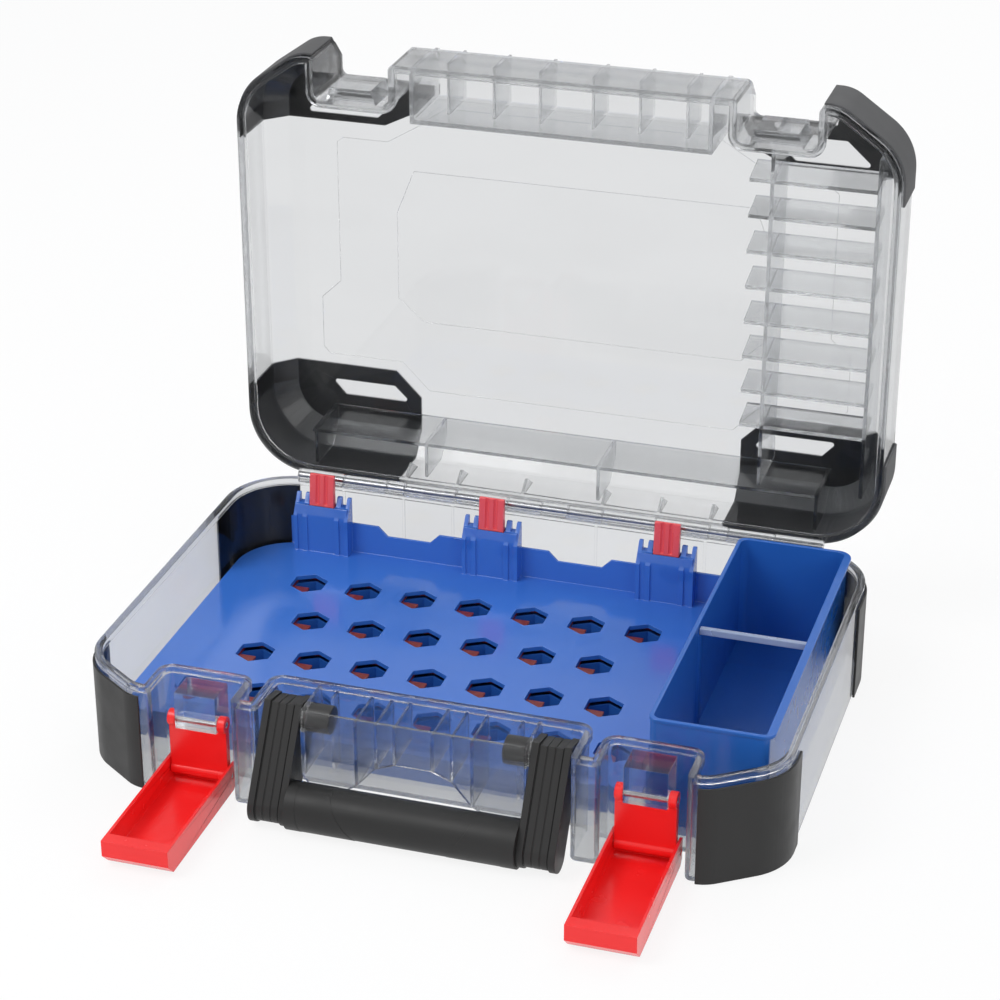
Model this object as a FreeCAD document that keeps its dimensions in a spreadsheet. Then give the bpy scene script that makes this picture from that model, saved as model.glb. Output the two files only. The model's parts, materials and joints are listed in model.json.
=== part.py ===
"""Clear storage case, lying open, with a hexagon-hole insert, a bin and a rack in its lid.

Millimetres. The origin is on the base's underside, midway between the front wall and the hinge
axis. +Z is up, -Y is the front and +X is the right side. The lid's pieces are drawn closed and
turned open about the hinge axis.
"""
import FreeCAD, Part
import os
import re
import Sketcher

DOC = FreeCAD.newDocument("StorageCase")
VECTOR = FreeCAD.Vector

# Driving sizes. Each list belongs to the piece that its comment names.
SIZES = {
    # whole case
    "case_width": 360, "case_depth": 246, "base_height": 58, "lid_depth": 47,
    "wall": 2.4, "floor_thick": 2.2, "rim_width": 4, "rim_height": 4, "seam": 0.3,
    "corner_run": 34, "corner_rise": 24, "front_knee_round": 18, "front_corner_round": 30,
    "back_corner_round": 36,
    "bottom_round": 2, "fit_gap": 0.3, "run_gap": 0.05, "overrun": 5, "inner_round": 0.6,
    # front wall: handle bay, posts and latch recesses
    "bay_half": 79.25, "bay_depth": 29, "post_width": 14.25, "recess_width": 42.3,
    "recess_depth": 23, "recess_round": 4, "post_round": 3,
    # hinge
    "hinge_half": 150.8, "hinge_setback": 1.5, "knuckle_radius": 3.6, "hinge_pin_radius": 1.5,
    "knuckle_clearance": 0.4, "knuckle_end_gap": 0.15, "lid_open_angle": 90,
    # back wall ribs
    "back_rib_thick": 1.5, "back_rib_depth": 1.5,
    # hood in the handle bay
    "hood_half": 57.5, "hood_front": 2, "hood_wall": 1.8, "hood_low": 15.8, "hood_side_low": 22,
    "hood_low_inner": 36.5, "hood_low_outer": 53, "hood_step_place": 29.5, "hood_step_height": 20,
    "hood_arch_place": 19.3, "hood_arch_height": 32, "hood_top_place": 9, "hood_top_height": 35.8,
    "hood_rib_top": 56, "hood_rib_thick": 1.5, "hood_short_rib_depth": 8,
    # corner guards
    "guard_thick": 1.2, "guard_top": 53, "guard_front_start": 141.5, "guard_front_end": 47,
    "guard_rear_start": 192, "guard_rear_end": 150,
    "lid_guard_low": 5, "lid_guard_rear_edge": 50, "lid_guard_rear_corner": 108,
    "lid_guard_rear_inner": 93.2, "lid_guard_rear_step": 35, "lid_guard_front_edge": 196,
    "lid_guard_front_corner": 112, "lid_guard_front_knee": 96, "lid_guard_knee_place": 204,
    "lid_guard_front_inner": 85, "lid_guard_inner_place": 216, "lid_guard_notch_gap": 1.5,
    "rear_window_near": 31.4, "rear_window_far": 40.4, "rear_window_near_inner": 99.7,
    "rear_window_near_outer": 138.8, "rear_window_far_inner": 109, "rear_window_far_outer": 147,
    "front_window_near": 200, "front_window_far": 213.5, "front_window_near_inner": 116.2,
    "front_window_near_outer": 158, "front_window_far_inner": 101.5,
    "front_window_far_outer": 143, "window_round": 1.5,
    # lid shell
    "lid_chamfer": 12, "lid_box_back": 217.7, "lid_box_rib_thick": 1.5, "lid_box_rib_height": 30,
    "catch_top": 24.6, "catch_depth": 8, "catch_width": 28, "catch_top_width": 23,
    "emboss_height": 0.8,
    "panel_front": 171, "panel_back": 82, "panel_back_half": 91, "panel_half": 106,
    "panel_front_half": 96, "panel_front_corner": 146, "panel_back_corner": 95,
    "step_back": 40.2, "step_back_half": 88.2, "step_shoulder": 56.1, "step_shoulder_half": 104,
    "step_side_half": 148, "step_half": 151.5, "step_side_back": 60, "step_side_front": 90.5,
    "step_waist": 101.3, "step_waist_half": 140.2, "step_corner": 183.8, "step_front": 186.7,
    "step_corner_half": 136.5, "step_front_half": 110.8, "step_top": 207.5, "step_top_half": 76,
    "fin_thick": 1.5, "fin_start": 1, "fin_reach": 7, "fin_peak": 12, "fin_end": 22,
    # lid shelf
    "shelf_half": 145, "shelf_place": 25, "shelf_thick": 2, "shelf_start": 8,
    "divider_start": 9.5, "divider_thick": 1.8, "divider_back": 4.4,
    # rack in the lid
    "rack_side_gap": 11.5, "rack_width": 68.5, "rack_rail_inset": 11, "rack_first": 61.8,
    "rack_pitch": 19.8, "rack_count": 8, "rack_slat": 2, "rack_lean": 4, "rack_start": 7.6,
    "rack_deep": 19, "rack_near": 28, "rack_far": 219, "rack_rail_thick": 2,
    # insert with the holes
    "deck_top": 17.75, "deck_thick": 2.5, "skirt_thick": 1.8, "deck_front": 43.1,
    "deck_bin_gap": 3.6, "hole_radius": 10.7, "hole_pitch": 32, "row_pitch": 40,
    "hole_side_gap": 135.2,
    "first_row": 75.4, "upstand_thick": 1.6, "upstand_top": 30, "upstand_high": 35.4,
    "upstand_step": 15.8,
    # tab sockets on the insert
    "socket_pitch": 100, "socket_shift": 2.2, "socket_half": 16.2, "socket_front": 232,
    "socket_top": 51, "socket_chamfer_deep": 6.5, "socket_chamfer_tall": 11.5,
    "socket_face_top": 46, "socket_face_deep": 1.4, "socket_face_fall": 6.5,
    "socket_ridge": 0.8, "socket_outer_wall": 2.3, "socket_inner_start": 8,
    "socket_inner_wall": 2.9, "socket_front_wall": 1.6,
    # release tabs, their springs and the lock plate
    "tab_width": 14.3, "tab_thick": 4, "tab_top": 64.5, "tab_groove": 1.1, "tab_window": 5.4,
    "tab_window_top": 30, "tab_groove_pitch": 4.8, "tab_bend": 47, "tab_lean": 2,
    "spring_radius": 1.9, "spring_bore": 1.3,
    "plate_thick": 1.5, "plate_gap": 0.35, "plate_left_gap": 23, "plate_right_gap": 6,
    "plate_front": 53, "plate_back": 236.5, "plate_corner_x": 17, "plate_corner_y": 17,
    "window_half": 9.3, "window_front": 7.5, "window_back": 12, "tongue_edge": 0.2,
    "tongue_side": 0.25, "guide_thick": 2, "guide_reach": 3, "guide_front": 63,
    "guide_back": 203,
    # bin and divider
    "bin_side_gap": 10.4, "bin_width": 62, "bin_front": 34.5, "bin_back": 232, "bin_top": 65,
    "bin_wall": 1.8, "bin_flange_left": 0.4, "bin_flange_right": 2.5, "bin_flange_thick": 2,
    "bin_floor": 1.8, "bin_back_round": 8, "bin_front_round": 6, "bin_small_round": 5,
    "divider_place": 132, "bin_divider_top": 63, "bin_divider_thick": 1.8, "bin_guide": 1.2,
    "divider_bead_thick": 3, "divider_bead_tall": 3.5,
    # handle, drawn hanging straight down from its pivot
    "handle_pivot_back": 12.5, "handle_pivot_height": 49.5, "handle_tilt": 32,
    "boss_radius": 7, "boss_inner": 44, "boss_outer": 61, "arm_inner": 58.5, "arm_outer": 78,
    "arm_front": 8.3, "arm_back": 11.5, "arm_shoulder": 5, "arm_top": 10, "arm_top_front": 5.5,
    "arm_top_fall": 6, "arm_bottom": 11, "arm_round": 9, "grip_drop": 43.8,
    "grip_radius": 12, "core_half_thick": 4, "core_outer": 74, "core_bar_radius": 4.2,
    "rib_count": 5, "rib_groove": 0.6, "rib_groove_deep": 1.2, "rib_inset": 0.8,
    # latches; places along Y are from the front plane
    "rod_back": 10, "rod_height": 38, "rod_radius": 1.5, "lug_half": 10.9, "lug_front": 6,
    "lug_low": 34, "lug_top": 54, "link_half": 15.3, "link_thick": 4, "ear_inner": 11.2,
    "ear_radius": 4.2, "pivot_height": 9, "pivot_radius": 1.5, "barrel_radius": 3.2,
    "lever_half": 17.2, "lever_wall": 1.6, "lever_low": 0.6, "lever_top": 15.3,
    "lever_heel": 3.6, "lever_reach": 81.6, "lever_floor": 2.2, "tip_wall": 2.6,
    "tip_lip": 4.5, "tip_lip_tall": 4, "heel_chamfer": 3, "tip_chamfer": 6, "heel_lip": 1.6,
    "heel_lip_top": 5,
}

# Hinge knuckle ends along X, as shares of the hinge's half length, from the middle outwards.
KNUCKLE_END_SHARES = (0.05, 0.18, 0.38, 0.58, 0.65, 0.82, 1.0)
# Ribs on the base's back wall, along X, as shares of the case's half width.
BACK_RIB_SHARES = (-0.68, -0.483, -0.322, 0.139, 0.325, 0.481)
# Full ribs and short back ribs of the hood, as shares of the hood's half width.
HOOD_RIB_SHARES = (0.17, 0.336, 0.515)
HOOD_SHORT_RIB_SHARES = (0.83,)
# Ribs in the lid's front box and fins on its back wall, as shares of the case's half width.
BOX_RIB_SHARES = (-0.36, -0.22, -0.08, 0.08, 0.22, 0.36)
FIN_SHARES = (-0.489, -0.322, -0.111, 0.144, 0.322, 0.483)
# Dividers on the lid's shelf, as shares of the shelf's half length.
SHELF_DIVIDER_SHARES = (-0.99, -0.538, 0.15, 0.99)
# Rows of holes from the front: the first and the last place of a row, in pitches from the middle.
ROWS = ((-3.5, 8), (-3.0, 7), (-2.5, 6), (-3.0, 7))

SHEET = DOC.addObject("Spreadsheet::Sheet", "Sizes")
for row, (size_name, size_value) in enumerate(SIZES.items(), start=1):
    SHEET.set(f"A{row}", size_name)
    SHEET.set(f"B{row}", str(size_value))
    SHEET.setAlias(f"B{row}", size_name)
DOC.recompute()

SIDE = "(case_width / 2)"
FRONT = "(-case_depth / 2)"
HINGE = "(case_depth / 2)"
BACK = "(case_depth / 2 - hinge_setback)"
LID_LOW = "(base_height + seam)"
LID_HIGH = "(base_height + lid_depth)"
LID_INNER_TOP = "(base_height + lid_depth - wall)"
LATCH = "(bay_half + post_width + recess_width / 2)"
BIN_RIGHT = "(case_width / 2 - bin_side_gap)"
BIN_LEFT = "(case_width / 2 - bin_side_gap - bin_width)"
DECK_RIGHT = "(case_width / 2 - bin_side_gap - bin_width - deck_bin_gap)"
HOLE_MIDDLE = f"({DECK_RIGHT} - hole_side_gap)"
PLATE_LEFT = "(plate_left_gap - case_width / 2)"
PLATE_RIGHT = f"({DECK_RIGHT} - plate_right_gap)"
RACK_RIGHT = "(case_width / 2 - rack_side_gap)"
RACK_LEFT = "(case_width / 2 - rack_side_gap - rack_width)"
RACK_RAIL = f"({RACK_LEFT} + rack_rail_inset)"
NODES = []


def bound(text):
    """An expression for setExpression, with each size's name led to its cell."""
    return re.sub(r"[A-Za-z_]\w*", lambda word: "Sizes." + word.group()
                  if word.group() in SIZES else word.group(), str(text))


def value(text):
    """The number that an expression gives now."""
    return float(SHEET.evalExpression(bound(text).replace("Sizes.", "")))


def bind(feature, **expressions):
    """Bind properties, written with _ for each dot, to expressions."""
    for name, text in expressions.items():
        feature.setExpression(name.replace("__", "."), bound(text))


def place(feature, x, y, z):
    bind(feature, Placement__Base__x=x, Placement__Base__y=y, Placement__Base__z=z)


def block(name, x, y, z):
    """A box between a low and a high value along each axis."""
    box = DOC.addObject("Part::Box", name)
    bind(box, Length=f"({x[1]}) - ({x[0]})", Width=f"({y[1]}) - ({y[0]})",
         Height=f"({z[1]}) - ({z[0]})")
    place(box, x[0], y[0], z[0])
    return box


def rod(name, x, y, z, radius):
    """A cylinder along X."""
    cylinder = DOC.addObject("Part::Cylinder", name)
    cylinder.Placement = FreeCAD.Placement(VECTOR(), FreeCAD.Rotation(VECTOR(0, 1, 0), 90))
    bind(cylinder, Radius=radius, Height=f"({x[1]}) - ({x[0]})")
    place(cylinder, x[0], y, z)
    return cylinder


def post(name, x, y, z, radius):
    """A cylinder along Z."""
    cylinder = DOC.addObject("Part::Cylinder", name)
    bind(cylinder, Radius=radius, Height=f"({z[1]}) - ({z[0]})")
    place(cylinder, x, y, z[0])
    return cylinder


def fuse(name, pieces):
    joined = DOC.addObject("Part::MultiFuse", name)
    joined.Shapes = list(pieces)
    return joined


def cut(name, base, tools):
    """A cut of one or more tools from a base."""
    tools = list(tools)
    result = DOC.addObject("Part::Cut", name)
    result.Base = base
    result.Tool = tools[0] if len(tools) == 1 else fuse(name + "_tools", tools)
    return result


def common(name, base, tool):
    result = DOC.addObject("Part::Common", name)
    result.Base = base
    result.Tool = tool
    return result


def node(feature, label):
    """Mark an object as a sub-part of its own."""
    feature.Label = label
    NODES.append(feature)
    return feature


def corner_edges(feature, corner, along):
    """The straight edges of a feature that stand on an outline's corner."""
    names = []
    for number, edge in enumerate(feature.Shape.Edges, start=1):
        ends = [vertex.Point for vertex in edge.Vertexes]
        if len(ends) != 2 or not isinstance(edge.Curve, Part.Line):
            continue
        if all((end - corner).cross(along).Length < 1e-4 for end in ends):
            names.append(f"Edge{number}")
    return names


def flat_edges(feature, height):
    """The edges of a feature that lie at one height."""
    return [f"Edge{number}" for number, edge in enumerate(feature.Shape.Edges, start=1)
            if edge.BoundBox.ZLength < 1e-4 and abs(edge.BoundBox.ZMin - height) < 1e-4]


def soften(body, kind, size_property, edges, size):
    """A fillet or a chamfer on named edges of a body's last feature."""
    last = body.Tip
    feature = body.newObject("PartDesign::" + kind, body.Name + "_" + kind.lower())
    feature.Base = (last, edges)
    bind(feature, **{size_property: size})
    body.Tip = feature
    DOC.recompute()
    return feature


def prism(name, plane, outline, low, high):
    """A padded outline. Each point is (across, up) or (across, up, radius) in the plane.

    XY takes x and y, XZ takes x and z, and YZ takes y and z. The pad runs from low to high along
    the axis that is left.
    """
    body = DOC.addObject("PartDesign::Body", name)
    sketch = body.newObject("Sketcher::SketchObject", name + "_outline")
    role = plane + "_Plane"
    base_plane = [part for part in body.Origin.OriginFeatures if part.Role == role][0]
    sketch.AttachmentSupport = (base_plane, [""])
    sketch.MapMode = "FlatFace"
    bind(sketch, AttachmentOffset__Base__z=f"-({high})" if plane == "XZ" else low)
    points = [VECTOR(value(point[0]), value(point[1]), 0) for point in outline]
    for start, end in zip(points, points[1:] + points[:1]):
        sketch.addGeometry(Part.LineSegment(start, end), False)
    for index, point in enumerate(outline):
        before = (index - 1) % len(outline)
        sketch.addConstraint(Sketcher.Constraint("Coincident", before, 2, index, 1))
        for kind, where, text in (("DistanceX", points[index].x, point[0]),
                                  ("DistanceY", points[index].y, point[1])):
            number = sketch.addConstraint(Sketcher.Constraint(kind, -1, 1, index, 1, where))
            sketch.setExpression(f"Constraints[{number}]", bound(text))
    pad = body.newObject("PartDesign::Pad", name + "_pad")
    pad.Profile = sketch
    bind(pad, Length=f"({high}) - ({low})")
    DOC.recompute()
    along = sketch.Placement.Rotation.multVec(VECTOR(0, 0, 1))
    for radius in sorted({point[2] for point in outline if len(point) == 3}):
        edges = []
        for point, flat in zip(outline, points):
            if len(point) == 3 and point[2] == radius:
                edges += corner_edges(body.Tip, sketch.Placement.multVec(flat), along)
        soften(body, "Fillet", "Radius", edges, radius)
    return body


def footprint(inset, bay=True, recesses=True):
    """The case's outline, set in from the outer face by an inset, with its corner rounds."""
    inner = inset != "0"
    convex = "inner_round" if inner else "post_round"
    front = f"{FRONT} + {inset}"
    side = f"{SIDE} - ({inset})"
    right = []
    if bay:
        right.append((f"bay_half + {inset}", f"{FRONT} + bay_depth + {inset}",
                      f"recess_round + {inset}"))
        right.append((f"bay_half + {inset}", front, convex))
    if recesses:
        inner_edge = f"bay_half + post_width - ({inset})"
        outer_edge = f"bay_half + post_width + recess_width + {inset}"
        deep = f"{FRONT} + recess_depth + {inset}"
        right.append((inner_edge, front, convex))
        right.append((inner_edge, deep, f"recess_round + {inset}"))
        right.append((outer_edge, deep, f"recess_round + {inset}"))
        right.append((outer_edge, front, convex))
    right.append((f"{SIDE} - corner_run - ({inset}) * tan(atan(corner_rise / corner_run) / 2)",
                  front, f"front_knee_round - ({inset})"))
    right.append((side, f"{FRONT} + corner_rise + ({inset}) * tan(atan(corner_run / corner_rise) / 2)",
                  f"front_corner_round - ({inset})"))
    right.append((side, f"{BACK} - ({inset})", f"back_corner_round - ({inset})"))
    left = [(f"-({x})", y, radius) for x, y, radius in reversed(right)]
    return right + left


def hull(name, inset, low, high, chamfer=None):
    """The outline without bay and recesses, with its upper edge chamfered if asked."""
    body = prism(name, "XY", footprint(inset, bay=False, recesses=False), low, high)
    if chamfer:
        soften(body, "Chamfer", "Size", flat_edges(body.Tip, value(high)), chamfer)
    return body


def mirrored(points):
    """An outline's right half and its mirror image."""
    return list(points) + [(f"-({x})", y) for x, y in reversed(points)]


def from_front(distance):
    return f"{FRONT} + {distance}"


def from_hinge(distance):
    """Y of a place in the closed lid, by its distance from the hinge axis."""
    return f"{HINGE} - ({distance})"


def above_rim(distance):
    """Z of a place in the closed lid, by its distance above the rim."""
    return f"base_height + {distance}"


def knuckle_spans():
    """X spans of the knuckles with their owner, from left to right."""
    ends = [-share for share in reversed(KNUCKLE_END_SHARES)] + list(KNUCKLE_END_SHARES)
    spans = list(zip(ends, ends[1:]))
    return [(low, high, "base" if number % 2 == 0 else "lid")
            for number, (low, high) in enumerate(spans)]


def hinge_shell(name, solid, owner):
    """Give a shell its knuckles, cut its neighbour's room and drill the pin's bore."""
    own = []
    rooms = []
    for number, (low, high, side) in enumerate(knuckle_spans()):
        span = (f"hinge_half * {low} + knuckle_end_gap", f"hinge_half * {high} - knuckle_end_gap")
        room = (f"hinge_half * {low} - knuckle_end_gap", f"hinge_half * {high} + knuckle_end_gap")
        if side == owner:
            own.append(rod(f"{name}_knuckle{number}", span, HINGE, "base_height", "knuckle_radius"))
        else:
            rooms.append(rod(f"{name}_room{number}", room, HINGE, "base_height",
                             "knuckle_radius + knuckle_clearance"))
    joined = fuse(name + "_with_knuckles", [cut(name + "_cleared", solid, rooms)] + own)
    bore = rod(name + "_bore", ("-hinge_half - overrun", "hinge_half + overrun"), HINGE,
               "base_height", "hinge_pin_radius + run_gap")
    return cut(name, joined, [bore])


def open_lid(feature):
    """Turn a piece of the closed lid about the hinge axis to its open place."""
    turn = FreeCAD.Rotation(VECTOR(-1, 0, 0), SIZES["lid_open_angle"])
    feature.Placement = FreeCAD.Placement(VECTOR(), turn)
    bind(feature, Placement__Rotation__Angle="lid_open_angle")
    place(feature, "0",
          f"{HINGE} - {HINGE} * cos(lid_open_angle) - base_height * sin(lid_open_angle)",
          f"base_height + {HINGE} * sin(lid_open_angle) - base_height * cos(lid_open_angle)")
    return feature


def base_hood():
    """Walls and ribs in the handle bay, which carry the handle's bosses."""
    front = (from_front("hood_front"), from_front("hood_front + hood_wall"))
    deep = (from_front("hood_front"), from_front("bay_depth + run_gap"))
    face = prism("hood_face", "XZ", mirrored([
        ("hood_half", "base_height"), ("hood_half", "hood_side_low"),
        ("hood_low_outer", "hood_low"), ("hood_low_inner", "hood_low"),
        ("hood_step_place", "hood_step_height"), ("hood_arch_place", "hood_arch_height"),
        ("hood_top_place", "hood_top_height")][::-1]), front[0], front[1])
    pieces = [face]
    for side in (-1, 1):
        edges = sorted((f"{side} * hood_half", f"{side} * (hood_half - hood_wall)"), key=value)
        wall = block("hood_side", edges, deep, ("hood_side_low", "base_height"))
        bore = rod("hood_bore", (f"{edges[0]} - overrun", f"{edges[1]} + overrun"),
                   from_front("handle_pivot_back"), "handle_pivot_height", "boss_radius + run_gap")
        pieces.append(cut("hood_side_bored", wall, [bore]))
        for share, low in zip(HOOD_RIB_SHARES,
                              ("hood_top_height", "hood_arch_height", "hood_step_height")):
            middle = f"{side} * hood_half * {share}"
            pieces.append(block("hood_rib", (f"{middle} - hood_rib_thick / 2",
                                             f"{middle} + hood_rib_thick / 2"),
                                deep, (low, "hood_rib_top")))
        for share in HOOD_SHORT_RIB_SHARES:
            middle = f"{side} * hood_half * {share}"
            pieces.append(block("hood_short_rib", (f"{middle} - hood_rib_thick / 2",
                                                   f"{middle} + hood_rib_thick / 2"),
                                (from_front("bay_depth - hood_short_rib_depth"), deep[1]),
                                ("hood_low", "hood_rib_top")))
    return pieces


def base_shell():
    """The lower shell: walls, rim, hood, rod lugs, back ribs and hinge knuckles."""
    outer = prism("base_outer", "XY", footprint("0"), "0", "base_height")
    soften(outer, "Fillet", "Radius", flat_edges(outer.Tip, 0), "bottom_round")
    cavity = prism("base_cavity", "XY", footprint("wall"), "floor_thick",
                   "base_height - rim_height")
    mouth = prism("base_mouth", "XY", footprint("rim_width"), "base_height - rim_height",
                  "base_height + overrun")
    pieces = [cut("base_walls", outer, [cavity, mouth])] + base_hood()
    for share in BACK_RIB_SHARES:
        middle = f"{SIDE} * ({share})"
        pieces.append(block("back_rib", (f"{middle} - back_rib_thick / 2",
                                         f"{middle} + back_rib_thick / 2"),
                            (f"{BACK} - wall - back_rib_depth", f"{BACK} - wall / 2"),
                            ("floor_thick / 2", "base_height - rim_height / 2")))
    for side in (-1, 1):
        middle = f"{side} * {LATCH}"
        lug = block("rod_lug", (f"{middle} - lug_half", f"{middle} + lug_half"),
                    (from_front("lug_front"), from_front("recess_depth + run_gap")),
                    ("lug_low", "lug_top"))
        bore = rod("rod_lug_bore", (f"{middle} - lug_half - overrun",
                                    f"{middle} + lug_half + overrun"),
                   from_front("rod_back"), "rod_height", "rod_radius + run_gap")
        pieces.append(cut("rod_lug_bored", lug, [bore]))
    return node(hinge_shell("base_shell", fuse("base_solid", pieces), "base"), "base_shell")


def lid_box():
    """The box over the handle bay at the lid's front, with its ribs."""
    behind = (from_hinge("lid_box_back"), from_hinge("lid_box_back - wall"))
    high = (LID_LOW, f"{LID_INNER_TOP} + run_gap")
    deep = (from_front("wall - run_gap"), behind[1])
    pieces = [block("lid_box_wall", ("-bay_half - wall", "bay_half + wall"), behind, high)]
    for side in (-1, 1):
        edges = sorted((f"{side} * bay_half", f"{side} * (bay_half + wall)"), key=value)
        pieces.append(block("lid_box_side", edges, deep, high))
    for share in BOX_RIB_SHARES:
        middle = f"{SIDE} * ({share})"
        pieces.append(block("lid_box_rib", (f"{middle} - lid_box_rib_thick / 2",
                                            f"{middle} + lid_box_rib_thick / 2"),
                            deep, (f"{LID_INNER_TOP} - lid_box_rib_height", high[1])))
    return pieces


def catch_block(side):
    """The block that a lever's tip hooks over."""
    middle = f"{side} * {LATCH}"
    root = f"{FRONT} + recess_depth + run_gap"
    tip = f"{FRONT} + recess_depth - catch_depth"
    return prism("catch_block", "XY", [(f"{middle} + catch_width / 2", root),
                                       (f"{middle} - catch_width / 2", root),
                                       (f"{middle} - catch_top_width / 2", tip),
                                       (f"{middle} + catch_top_width / 2", tip)],
                 LID_LOW, above_rim("catch_top"))


def lid_fin(share):
    """A small fin on the lid's back wall."""
    middle = f"{SIDE} * ({share})"
    root = "hinge_setback + wall - run_gap"
    return prism("lid_fin", "YZ", [(from_hinge(root), above_rim("fin_start")),
                                   (from_hinge("hinge_setback + wall + fin_reach"),
                                    above_rim("fin_peak")),
                                   (from_hinge(root), above_rim("fin_end"))],
                 f"{middle} - fin_thick / 2", f"{middle} + fin_thick / 2")


def lid_shell():
    """The upper shell, with its notches, front box, catch blocks and embossed panel."""
    plan = prism("lid_plan", "XY", footprint("0", bay=False), LID_LOW, LID_HIGH)
    crown = hull("lid_crown", "0", LID_LOW, LID_HIGH, "lid_chamfer")
    cavity_plan = prism("lid_cavity_plan", "XY", footprint("wall", bay=False),
                        f"{LID_LOW} - overrun", LID_INNER_TOP)
    cavity_crown = hull("lid_cavity_crown", "wall", f"{LID_LOW} - overrun", LID_INNER_TOP,
                        "lid_chamfer - wall * (2 - sqrt(2))")
    walls = cut("lid_walls", common("lid_outer", plan, crown),
                [common("lid_cavity", cavity_plan, cavity_crown)])
    rim = cut("lid_rim", prism("lid_rim_outer", "XY", footprint("wall / 2", bay=False), LID_LOW,
                               above_rim("rim_height")),
              [prism("lid_rim_inner", "XY", footprint("rim_width", bay=False),
                     f"{LID_LOW} - overrun", above_rim("rim_height + overrun"))])
    step = prism("lid_step", "XY", mirrored([
        ("step_back_half", from_hinge("step_back")),
        ("step_shoulder_half", from_hinge("step_shoulder")),
        ("step_side_half", from_hinge("step_shoulder")),
        ("step_half", from_hinge("step_side_back")),
        ("step_half", from_hinge("step_side_front")),
        ("step_waist_half", from_hinge("step_waist")),
        ("step_waist_half", from_hinge("step_corner")),
        ("step_corner_half", from_hinge("step_front")),
        ("step_front_half", from_hinge("step_front")),
        ("step_top_half", from_hinge("step_top"))]),
        f"{LID_HIGH} - wall / 2", f"{LID_HIGH} + emboss_height")
    panel = prism("lid_panel", "XY", mirrored([
        ("panel_back_half", from_hinge("panel_back")),
        ("panel_half", from_hinge("panel_back_corner")),
        ("panel_half", from_hinge("panel_front_corner")),
        ("panel_front_half", from_hinge("panel_front"))]),
        f"{LID_HIGH} - wall / 2", f"{LID_HIGH} + emboss_height * 2")
    pieces = [walls, rim, step, panel] + lid_box() + [catch_block(side) for side in (-1, 1)]
    pieces += [lid_fin(share) for share in FIN_SHARES]
    return node(open_lid(hinge_shell("lid_shell", fuse("lid_solid", pieces), "lid")), "lid_shell")


def base_guards():
    """Four soft corner guards round the base."""
    ring = cut("base_guard_ring", hull("base_guard_outer", "-guard_thick", "0", "guard_top"),
               [hull("base_guard_inner", "0", "-overrun", "guard_top + overrun")])
    zones = {"front": ("guard_front_start", (f"{FRONT} - overrun", from_front("guard_front_end"))),
             "rear": ("guard_rear_end", (from_front("guard_rear_start"), f"{HINGE} + overrun"))}
    for end, (start, depth) in zones.items():
        for side, word in ((-1, "left"), (1, "right")):
            edges = sorted((f"{side} * {start}", f"{side} * ({SIDE} + overrun)"), key=value)
            zone = block(f"base_guard_{end}_{word}_zone", edges, depth,
                         ("-overrun", "guard_top + overrun"))
            node(common(f"base_guard_{end}_{word}", ring, zone), f"bumper_base_{end}_{word}")


def lid_guards():
    """Four soft corner guards on the lid, over its chamfer and part of its top."""
    outer = hull("lid_guard_outer", "-guard_thick", above_rim("lid_guard_low"),
                 f"{LID_HIGH} + guard_thick", "lid_chamfer + guard_thick * (2 - sqrt(2))")
    inner = hull("lid_guard_inner", "0", f"{LID_LOW} - overrun", LID_HIGH, "lid_chamfer")
    skin = cut("lid_guard_skin", outer, [inner])
    far = f"{SIDE} + overrun"
    notch = "bay_half + post_width + recess_width + lid_guard_notch_gap"
    notch_back = from_front("recess_depth + lid_guard_notch_gap")
    outlines = {
        "rear": [(far, f"{HINGE} + overrun"), (far, from_hinge("lid_guard_rear_edge")),
                 ("lid_guard_rear_corner", from_hinge("lid_guard_rear_edge")),
                 ("lid_guard_rear_inner", from_hinge("lid_guard_rear_step")),
                 ("lid_guard_rear_inner", f"{HINGE} + overrun")],
        "front": [(far, from_hinge("lid_guard_front_edge")), (far, f"{FRONT} - overrun"),
                  (notch, f"{FRONT} - overrun"), (notch, notch_back),
                  ("lid_guard_front_inner", notch_back),
                  ("lid_guard_front_inner", from_hinge("lid_guard_inner_place")),
                  ("lid_guard_front_knee", from_hinge("lid_guard_knee_place")),
                  ("lid_guard_front_corner", from_hinge("lid_guard_front_edge"))]}
    for end, outline in outlines.items():
        for side, word in ((-1, "left"), (1, "right")):
            zone = prism(f"lid_guard_{end}_{word}_zone", "XY",
                         [(f"{side} * ({x})", y) for x, y in outline],
                         "base_height", f"{LID_HIGH} + overrun")
            window = prism(f"lid_guard_{end}_{word}_window", "XY", [
                (f"{side} * {end}_window_{x}", from_hinge(f"{end}_window_{y}"), "window_round")
                for x, y in (("near_inner", "near"), ("near_outer", "near"),
                             ("far_outer", "far"), ("far_inner", "far"))],
                f"{LID_HIGH} - run_gap", f"{LID_HIGH} + overrun")
            guard = cut(f"lid_guard_{end}_{word}",
                        common(f"lid_guard_{end}_{word}_solid", skin, zone), [window])
            node(open_lid(guard), f"bumper_lid_{end}_{word}")


def lid_room(name):
    """The space inside the lid, a fit's gap off its walls."""
    return hull(name, "wall + fit_gap", LID_LOW, f"{LID_INNER_TOP} - fit_gap",
                "lid_chamfer - wall * (2 - sqrt(2))")


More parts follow.
